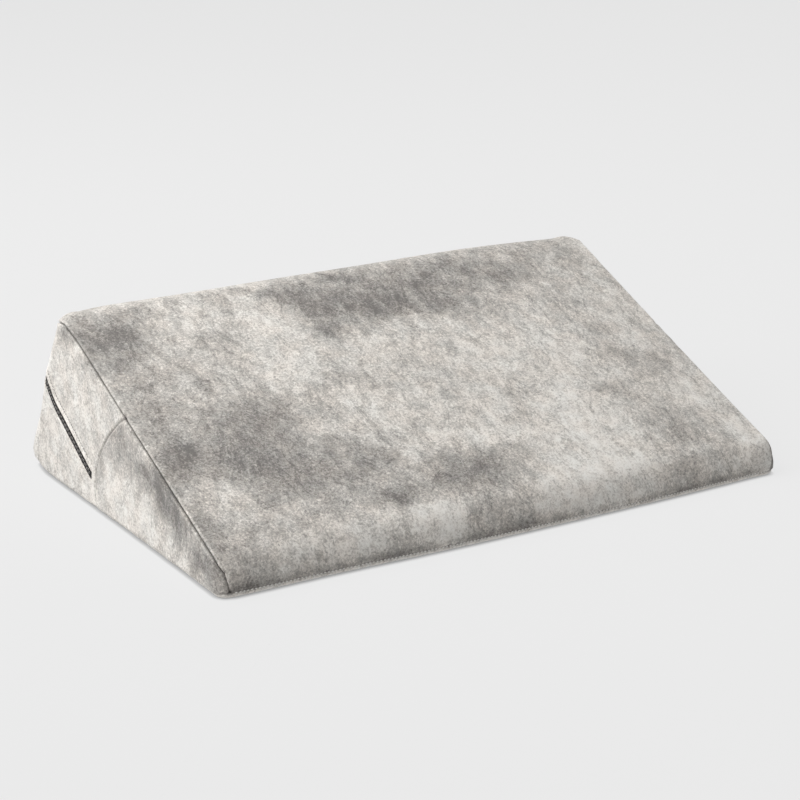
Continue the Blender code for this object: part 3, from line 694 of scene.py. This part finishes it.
# Painted shade and light: the front edge is painted from light to dark towards its seam
front_shade = FRONT_SHADOW * np.exp(-(to_base / FRONT_SHADOW_LENGTH) ** 2) - FRONT_PAINTED_LIGHT
edge_shadow = at_front[:, None] * between_seams * front_shade
dye_and_painted_light[:wall_points] += (SEAM_SHADOW * painted_shade_under_seam - PAINTED_RIDGE_HIGHLIGHT * painted_ridge_highlight + edge_shadow).ravel()
# The palest places keep a little dye, or the colour ramp would end there and the grain with it
dye_and_painted_light = DYE_FLOOR + FLOOR_BEND * np.log1p(np.exp((dye_and_painted_light - DYE_FLOOR) / FLOOR_BEND))
cover_mesh.attributes.new("dye_and_painted_light", "FLOAT", "POINT").data.foreach_set("value", dye_and_painted_light)
# Painted shade: the crease depth, from 0 to 1, which the material turns into darker cloth in seams, pits and
# the zip's channel
shade = np.zeros(len(skin))
shade[:wall_points] = np.clip(depth.reshape(-1) / CREASE_DEPTH, 0, 1)
cover_mesh.attributes.new("crease", "FLOAT", "POINT").data.foreach_set("value", shade)
print("dye from", round(float(dye_and_painted_light.min()), 2), "to", round(float(dye_and_painted_light.max()), 2))

# %% [markdown]
# ## One helper for colours and one for nodes
# Colours are written as sRGB hex, as they would be read off a sample, and turned to the linear
# values that Cycles works in. Node trees get long when each node takes five lines, so one small
# function adds any node, sets its properties and sockets, and links what is handed to it.

# %% Helpers for materials
def linear(hex_colour):
    """Linear RGBA from an sRGB hex colour."""
    values = [int(hex_colour[i:i + 2], 16) / 255 for i in (1, 3, 5)]
    return (*[v / 12.92 if v <= 0.04045 else ((v + 0.055) / 1.055) ** 2.4 for v in values], 1.0)


def add_node(tree, kind, sockets=None, **settings):
    """A node with its settings, each socket given as a value or as an output to link."""
    made = tree.nodes.new(kind)
    for name, value in settings.items():
        setattr(made, name, value)
    for name, value in (sockets or {}).items():
        if isinstance(value, bpy.types.NodeSocket):
            tree.links.new(value, made.inputs[name])
        else:
            made.inputs[name].default_value = value
    return made


def new_material(name):
    """An empty node material, its tree and its output."""
    made = bpy.data.materials.new(name)
    made.use_nodes = True
    made.node_tree.nodes.clear()
    return made, made.node_tree, add_node(made.node_tree, "ShaderNodeOutputMaterial")


print("light ground of the plush, linear:", [round(v, 3) for v in linear("#DCD6CF")[:3]])

# %% [markdown]
# ## Short pile plush
# The cover is a polyester plush with a cut pile of one or two millimetres, dyed after knitting. Cut
# pile scatters light in all directions, so it has no highlight, only a faint glow at a grazing
# angle. Hair particles would be real pile, but at this distance one hair is a tenth of a pixel. So
# the pile is drawn as clumps of about 2 mm, coarser than the real tufts, in the colour and the bump.

# %% Plush material
STROKE_SIZE, CLUMP_SIZE, VEIN_SIZE, VEIN_WIDTH, VEIN_STRENGTH = 0.010, 0.0021, 0.040, 0.022, 0.22
plush, tree, output = new_material("short_pile_plush")
place = add_node(tree, "ShaderNodeTexCoord").outputs["Object"]
dye_and_light_value = add_node(tree, "ShaderNodeAttribute", attribute_name="dye_and_painted_light").outputs["Fac"]
crease_shade_value = add_node(tree, "ShaderNodeAttribute", attribute_name="crease").outputs["Fac"]
# Strokes of the brushed pile run down the slope: 10 mm wide and about 17 mm long
brushed = add_node(tree, "ShaderNodeMapping", {"Vector": place, "Scale": (1, 0.6, 0.6)}).outputs[0]
strokes = add_node(tree, "ShaderNodeTexNoise", {"Vector": brushed, "Scale": 1 / STROKE_SIZE, "Detail": 5.0,
                                                "Roughness": 0.62, "Distortion": 0.5}).outputs[0]
clumps = add_node(tree, "ShaderNodeTexNoise", {"Vector": place, "Scale": 1 / CLUMP_SIZE, "Detail": 2.0,
                                               "Roughness": 0.65, "Distortion": 0.8}).outputs[0]
# Thin dark veins where the dye ran together: the places where a 40 mm noise crosses its middle
vein_noise = add_node(tree, "ShaderNodeTexNoise", {"Vector": brushed, "Scale": 1 / VEIN_SIZE, "Detail": 6.0,
                                                   "Roughness": 0.6, "Distortion": 1.2}).outputs[0]
vein_line = add_node(tree, "ShaderNodeMath", {0: vein_noise, 1: 0.5}, operation="SUBTRACT").outputs[0]
vein_away = add_node(tree, "ShaderNodeMath", {0: vein_line}, operation="ABSOLUTE").outputs[0]
veins = add_node(tree, "ShaderNodeMapRange", {0: vein_away, 1: 0.0, 2: VEIN_WIDTH, 3: VEIN_STRENGTH,
                                              4: 0.0}).outputs[0]
veined = add_node(tree, "ShaderNodeMath", {0: dye_and_light_value, 1: veins}, operation="ADD").outputs[0]
STROKE_STRENGTH, CLUMP_STRENGTH = 1.2, 1.55
speckled = veined
for grain, strength in ((strokes, STROKE_STRENGTH), (clumps, CLUMP_STRENGTH)):
    shift = add_node(tree, "ShaderNodeMath", {0: grain, 1: -0.5}, operation="ADD").outputs[0]
    speckled = add_node(tree, "ShaderNodeMath", {0: shift, 1: strength, 2: speckled},
                        operation="MULTIPLY_ADD").outputs[0]
dye_and_light_level = add_node(tree, "ShaderNodeMath", {0: speckled, 1: 0.8, 2: 0.2},
                     operation="MULTIPLY_ADD").outputs[0]
ramp_node = add_node(tree, "ShaderNodeValToRGB", {"Fac": dye_and_light_level})
DYE_COLOURS = ((0.0, "#FCF9F4"), (0.2, "#EFEBE5"), (0.4, "#D3CEC8"), (0.6, "#B5B1AC"), (0.8, "#999591"),
               (1.0, "#7C7976"))
stops = ramp_node.color_ramp.elements
for stop, (position, colour) in enumerate(DYE_COLOURS):
    element = stops[stop] if stop < 2 else stops.new(position)
    element.position, element.color = position, linear(colour)
tints = add_node(tree, "ShaderNodeTexNoise", {"Vector": place, "Scale": 1 / 0.022, "Detail": 2.0}).outputs[0]
tint_ramp = add_node(tree, "ShaderNodeValToRGB", {"Fac": tints})
for stop, (position, colour) in enumerate(((0.35, "#FCFDFD"), (0.65, "#FFFDFB"))):
    tint_ramp.color_ramp.elements[stop].position = position
    tint_ramp.color_ramp.elements[stop].color = linear(colour)
tinted = add_node(tree, "ShaderNodeMix", {0: 1.0, 6: ramp_node.outputs[0], 7: tint_ramp.outputs[0]},
                  data_type="RGBA", blend_type="MULTIPLY").outputs[2]
# Painted shade: three quarters of the crease depth mixes the cloth towards dark grey
painted_crease_shade = add_node(tree, "ShaderNodeMath", {0: crease_shade_value, 1: 0.75}, operation="MULTIPLY").outputs[0]
colour = add_node(tree, "ShaderNodeMix", {0: painted_crease_shade, 6: tinted, 7: linear("#4A4644")},
                  data_type="RGBA", blend_type="MIX").outputs[2]
bump = add_node(tree, "ShaderNodeBump", {"Strength": 0.5, "Distance": 0.0008, "Height": clumps}).outputs[0]
cloth_shader = add_node(tree, "ShaderNodeBsdfPrincipled", {
    "Base Color": colour, "Roughness": 0.95, "IOR": 1.45, "Specular IOR Level": 0.15,
    "Sheen Weight": 0.15, "Sheen Roughness": 0.5, "Normal": bump})
tree.links.new(cloth_shader.outputs[0], output.inputs["Surface"])
cover_mesh.materials.append(plush)
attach(cover, "root")
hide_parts("wedge_pillow")
print("nodes in the plush:", len(tree.nodes))

# %% [markdown]
# ## Zip
# A nylon coil zip is two woven tapes whose edges carry a coil; closed, the turns of both coils mesh
# like fingers. An array modifier on a curve would repeat the turns, but it can't tilt them to a
# wall that leans and turns three corners. So the path is read off the grid, with the direction along
# it, across it and out of the cloth, and each piece is set in that frame.

# %% Path of the zip
zip_columns = np.nonzero(((abs(rim_a) == 1) & (rim_b >= ZIP_START)) | (rim_b == 1))[0]
grid = smooth_skin[:wall_points].reshape(len(rim), ROW_COUNT, 3)


def path_frames(row_low, row_mid, row_high, columns):
    """Points on a row with the directions along it, across it and outward, at each column."""
    points = grid[columns, row_mid]
    forward = np.gradient(points, axis=0)
    rise = grid[columns, row_high] - grid[columns, row_low]
    out = np.cross(forward, rise)
    frames = [v / np.linalg.norm(v, axis=1)[:, None] for v in (forward, np.cross(out, forward), out)]
    run = running_length(points)
    return run, points, *frames


def along_path(path, places):
    """The path's points and directions at running lengths."""
    return [np.stack([np.interp(places, path[0], part[:, axis]) for axis in range(3)], axis=1)
            for part in path[1:]]


zip_path = path_frames(ZIP_ROW - 1, ZIP_ROW, ZIP_ROW + 1, zip_columns)
zip_length = zip_path[0][-1]
print("length of the zip in mm:", round(zip_length * 1000))

# %% Helpers that set shapes along a path
def mesh_piece(name, points, faces, material, slot):
    """A smooth mesh piece that rides on the pillow."""
    mesh = bpy.data.meshes.new(name)
    mesh.from_pydata(np.asarray(points).tolist(), [], faces)
    mesh.materials.append(material)
    mesh.shade_smooth()
    made = linked(name, mesh)
    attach(made, "root")
    return made


def beads(frames, size, sides=8, rings=5):
    """One rounded bead at each frame, size being its half length, half width and half height."""
    ball = bmesh.new()
    bmesh.ops.create_uvsphere(ball, u_segments=sides, v_segments=rings, radius=1)
    shape = np.array([vert.co for vert in ball.verts])
    shape = np.sign(shape) * abs(shape) ** 0.8 * np.array(size)
    quads = [[vert.index for vert in face.verts] for face in ball.faces]
    ball.free()
    points, forward, sideways, out = frames
    placed = (points[:, None] + shape[None, :, [0]] * forward[:, None]
              + shape[None, :, [1]] * sideways[:, None] + shape[None, :, [2]] * out[:, None])
    faces = [[v + number * len(shape) for v in quad] for number in range(len(points)) for quad in quads]
    return placed.reshape(-1, 3), faces


def ribbon(frames, profile):
    """A closed strip with a cross-section of (across, outward) pairs, capped at both ends."""
    points, forward, sideways, out = frames
    section = np.array(profile)
    placed = (points[:, None] + section[None, :, [0]] * sideways[:, None]
              + section[None, :, [1]] * out[:, None])
    n = len(section)
    faces = [(k * n + i, k * n + (i + 1) % n, (k + 1) * n + (i + 1) % n, (k + 1) * n + i)
             for k in range(len(points) - 1) for i in range(n)]
    faces += [tuple(range(n))[::-1], tuple((len(points) - 1) * n + i for i in range(n))]
    return placed.reshape(-1, 3), faces


print("helpers ready")

# %% [markdown]
# ## Zip materials
# Tape is woven polyester: matt, with a fine grain. The coil is extruded nylon, smoother, so it
# catches a small highlight that tells the turns apart; its pale grey colour is a painted highlight on
# black nylon. The slider is die-cast zinc under black lacquer. Each is a Principled shader with noise
# at the size of its own surface.

# %% Zip materials
def simple_material(name, colour_low, colour_high, size, roughness, bump_depth, metallic=0.0):
    """A Principled material whose colour and bump follow noise of a size in metres."""
    made, tree, output = new_material(name)
    place = add_node(tree, "ShaderNodeTexCoord").outputs["Object"]
    grain = add_node(tree, "ShaderNodeTexNoise", {"Vector": place, "Scale": 1 / size,
                                                  "Detail": 3.0}).outputs[0]
    colour = add_node(tree, "ShaderNodeMix", {0: grain, 6: linear(colour_low), 7: linear(colour_high)},
                      data_type="RGBA").outputs[2]
    bump = add_node(tree, "ShaderNodeBump", {"Strength": 0.6, "Distance": bump_depth,
                                             "Height": grain}).outputs[0]
    shader = add_node(tree, "ShaderNodeBsdfPrincipled", {"Base Color": colour, "Roughness": roughness,
                                                         "Metallic": metallic, "Normal": bump})
    tree.links.new(shader.outputs[0], output.inputs["Surface"])
    return made


zip_tape = simple_material("woven_polyester_tape", "#0E0D0D", "#2A2828", 0.0008, 0.85, 0.0002)
# Painted highlight: the coil of the black zip is coloured mid to pale grey so that its turns show light
nylon_coil_painted_highlights = simple_material("nylon_coil_painted_highlights", "#4A4745", "#A8A4A0", 0.0015, 0.38, 0.0001)
lacquer = simple_material("lacquered_zinc", "#151414", "#242323", 0.0040, 0.32, 0.00005)
seam_thread = simple_material("polyester_thread", "#F0EDE8", "#FCFAF7", 0.0006, 0.60, 0.0001)
zip_thread = simple_material("grey_polyester_thread", "#55514D", "#6E6965", 0.0006, 0.60, 0.0001)
print("zip materials made")

# %% Tapes, coil and slider
CHANNEL_FLOOR = -CHANNEL_DEPTH
TAPE_HALF, TAPE_TOP, CORD_HALF = 0.0048, -0.0006, 0.0026
tape_profile = ((-TAPE_HALF, CHANNEL_FLOOR), (TAPE_HALF, CHANNEL_FLOOR), (TAPE_HALF, TAPE_TOP),
                (CORD_HALF + 0.0004, TAPE_TOP + 0.0001), (CORD_HALF, TAPE_TOP + 0.0004),
                (0.0, TAPE_TOP + 0.0002), (-CORD_HALF, TAPE_TOP + 0.0004),
                (-CORD_HALF - 0.0004, TAPE_TOP + 0.0001), (-TAPE_HALF, TAPE_TOP))
tape = mesh_piece("zip_tape", *ribbon(zip_path[1:], tape_profile), zip_tape, "zip_nylon")
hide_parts("zip_chain")

# A real coil of this size has a turn every 1.25 mm or so; it is drawn at 2.8 mm, so that it shows
TURN_PITCH, TURN_HALF_LENGTH, TURN_OFFSET = 0.0028, 0.0017, 0.0008
turn_places = np.arange(TURN_PITCH, zip_length - TURN_PITCH, TURN_PITCH)
points, forward, sideways, out = along_path(zip_path, turn_places)
shift = np.where(np.arange(len(turn_places)) % 2, TURN_OFFSET, -TURN_OFFSET)[:, None]
turn_points = points + sideways * shift + out * (TAPE_TOP + 0.0004)
coil_points, coil_faces = beads((turn_points, forward, sideways, out), (0.0009, TURN_HALF_LENGTH, 0.0006))
mesh_piece("zip_coil", coil_points, coil_faces, nylon_coil_painted_highlights, "zip_nylon")
print("turns of the coil:", len(turn_places))

# %% Slider
SLIDER_PLACE = 0.016
slider_sections = ((0.0000, 0.0017, 0.0014), (0.0004, 0.0027, 0.0020), (0.0015, 0.0034, 0.0024),
                   (0.0045, 0.0034, 0.0026), (0.0075, 0.0029, 0.0026), (0.0100, 0.0024, 0.0022),
                   (0.0109, 0.0018, 0.0015))
origin, forward, sideways, out = [v[0] for v in along_path(zip_path, [SLIDER_PLACE])]
slider_floor = TAPE_TOP + 0.0012
angles = np.linspace(0, 2 * math.pi, 16, endpoint=False)
slider_points = []
for distance, half_width, height in slider_sections:
    cos, sin = np.cos(angles), np.sin(angles)
    width = np.sign(cos) * abs(cos) ** 0.5 * half_width
    lift = slider_floor + height / 2 + np.sign(sin) * abs(sin) ** 0.5 * height / 2
    slider_points += [origin + forward * distance + sideways * w + out * h for w, h in zip(width, lift)]
ring = len(angles)
slider_faces = [(k * ring + i, (k + 1) * ring + i, (k + 1) * ring + (i + 1) % ring, k * ring + (i + 1) % ring)
                for k in range(len(slider_sections) - 1) for i in range(ring)]
slider_faces += [tuple(range(ring)), tuple((len(slider_sections) - 1) * ring + i for i in range(ring))[::-1]]
slider = mesh_piece("zip_slider_body", slider_points, slider_faces, lacquer, "zip_slider")
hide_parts("zip_slider")
print("slider placed at mm:", round(SLIDER_PLACE * 1000))

# %% Stitches
STITCH_HALF, STITCH_PITCH = (0.0011, 0.0007, 0.0006), 0.0037
grid_now = skin[:wall_points].reshape(len(rim), ROW_COUNT, 3)


def stitches(name, row, columns, pitch, size, lift, material):
    """A line of machine stitches on a row of the wall."""
    path = path_frames(row - 1, row, row + 1, columns)
    run = running_length(grid_now[columns, row])
    path = (run, grid_now[columns, row], *path[2:])
    points, forward, sideways, out = along_path(path, np.arange(pitch, run[-1] - pitch, pitch))
    placed = beads((points + out * lift, forward, sideways, out), size, 6, 4)
    return mesh_piece(name, *placed, material, "plush_cover")


front_seam = stitches("front_seam_stitches", BASE_SEAM_ROW + 2, np.arange(2, A - 2), STITCH_PITCH,
                      STITCH_HALF, 0.0004, seam_thread)
topstitch_row = ZIP_ROW + len(ZIP_STEPS) + 3
topstitch = stitches("zip_topstitch", topstitch_row, zip_columns[3:-3], 0.0034, (0.0012, 0.0005, 0.0004),
                     0.0001, zip_thread)
print("faces of the stitches:", len(front_seam.data.polygons) + len(topstitch.data.polygons))

# %% [markdown]
# ## Floor and light
# The photo was taken on a plain pale sweep under big soft boxes, and it shows no cast shadow, only a
# thin dark line of contact. A floor that only reflects would show a wide soft shadow, so most of its
# light is its own, and the rest takes the shadow.

# %% Floor
FLOOR_GLOW, FLOOR_BOUNCE, FLOOR_SHARE, CONTACT_SHADOW_LEVEL, CONTACT_REACH = 0.84, 0.50, 0.10, 0.26, 0.0045
floor_mesh = bpy.data.meshes.new("floor")
grid_floor = bmesh.new()
bmesh.ops.create_grid(grid_floor, x_segments=1, y_segments=1, size=30)
grid_floor.to_mesh(floor_mesh)
grid_floor.free()
floor = linked("floor", floor_mesh)
paper, tree, output = new_material("matt_paper")
place = add_node(tree, "ShaderNodeTexCoord").outputs["Object"]
fibre = add_node(tree, "ShaderNodeTexNoise", {"Vector": place, "Scale": 40.0}).outputs[0]
tone = add_node(tree, "ShaderNodeMix", {0: fibre, 6: linear("#E9E9E9"), 7: linear("#EBEBEB")},
                data_type="RGBA").outputs[2]
seen = add_node(tree, "ShaderNodeLightPath").outputs["Is Camera Ray"]
# Painted shadow: ambient occlusion within a few millimetres of the pillow dims the floor's own glow
painted_contact_shadow = add_node(tree, "ShaderNodeAmbientOcclusion", {"Distance": CONTACT_REACH}).outputs["AO"]
shown = add_node(tree, "ShaderNodeMapRange", {0: painted_contact_shadow, 1: 0.0, 2: 1.0, 3: CONTACT_SHADOW_LEVEL,
                                              4: FLOOR_GLOW}).outputs[0]
level = add_node(tree, "ShaderNodeMix", {0: seen, 2: FLOOR_BOUNCE, 3: shown}).outputs[0]
glow = add_node(tree, "ShaderNodeEmission", {"Color": (1, 1, 1, 1), "Strength": level}).outputs[0]
matt = add_node(tree, "ShaderNodeBsdfDiffuse", {"Color": tone, "Roughness": 1.0}).outputs[0]
both = add_node(tree, "ShaderNodeMixShader", {0: FLOOR_SHARE, 1: glow, 2: matt}).outputs[0]
tree.links.new(both, output.inputs["Surface"])
floor_mesh.materials.append(paper)
print("floor in metres:", tuple(round(v) for v in floor.dimensions))

# %% Lights
HORIZON_TOP, SKY_LEVEL = 0.20, 0.06
world = bpy.data.worlds.new("studio")
bpy.context.scene.world = world
world.use_nodes = True
tree = world.node_tree
direction = add_node(tree, "ShaderNodeTexCoord").outputs["Generated"]
height = add_node(tree, "ShaderNodeSeparateXYZ", {0: direction}).outputs[2]
sky = add_node(tree, "ShaderNodeValToRGB", {"Fac": height})
for stop, (position, level) in enumerate(((HORIZON_TOP, 0.80), (HORIZON_TOP + 0.12, SKY_LEVEL))):
    sky.color_ramp.elements[stop].position = position
    sky.color_ramp.elements[stop].color = (level, level, level, 1)
tree.links.new(sky.outputs[0], tree.nodes["Background"].inputs["Color"])
SOFT_BOXES = (("overhead", (-1.05, 0.52, 2.20), 2.4, 74), ("left", (-2.40, 0.35, 0.75), 1.8, 15))
for name, spot, side, power in SOFT_BOXES:
    light_data = bpy.data.lights.new(name, "AREA")
    light_data.shape, light_data.size, light_data.energy = "SQUARE", side, power
    light = linked(name, light_data)
    light.location = spot
    light.rotation_mode = "QUATERNION"
    light.rotation_quaternion = Vector(spot).to_track_quat("Z", "Y")
bpy.context.scene.view_settings.view_transform = "Standard"
print("soft boxes:", [box[0] for box in SOFT_BOXES])
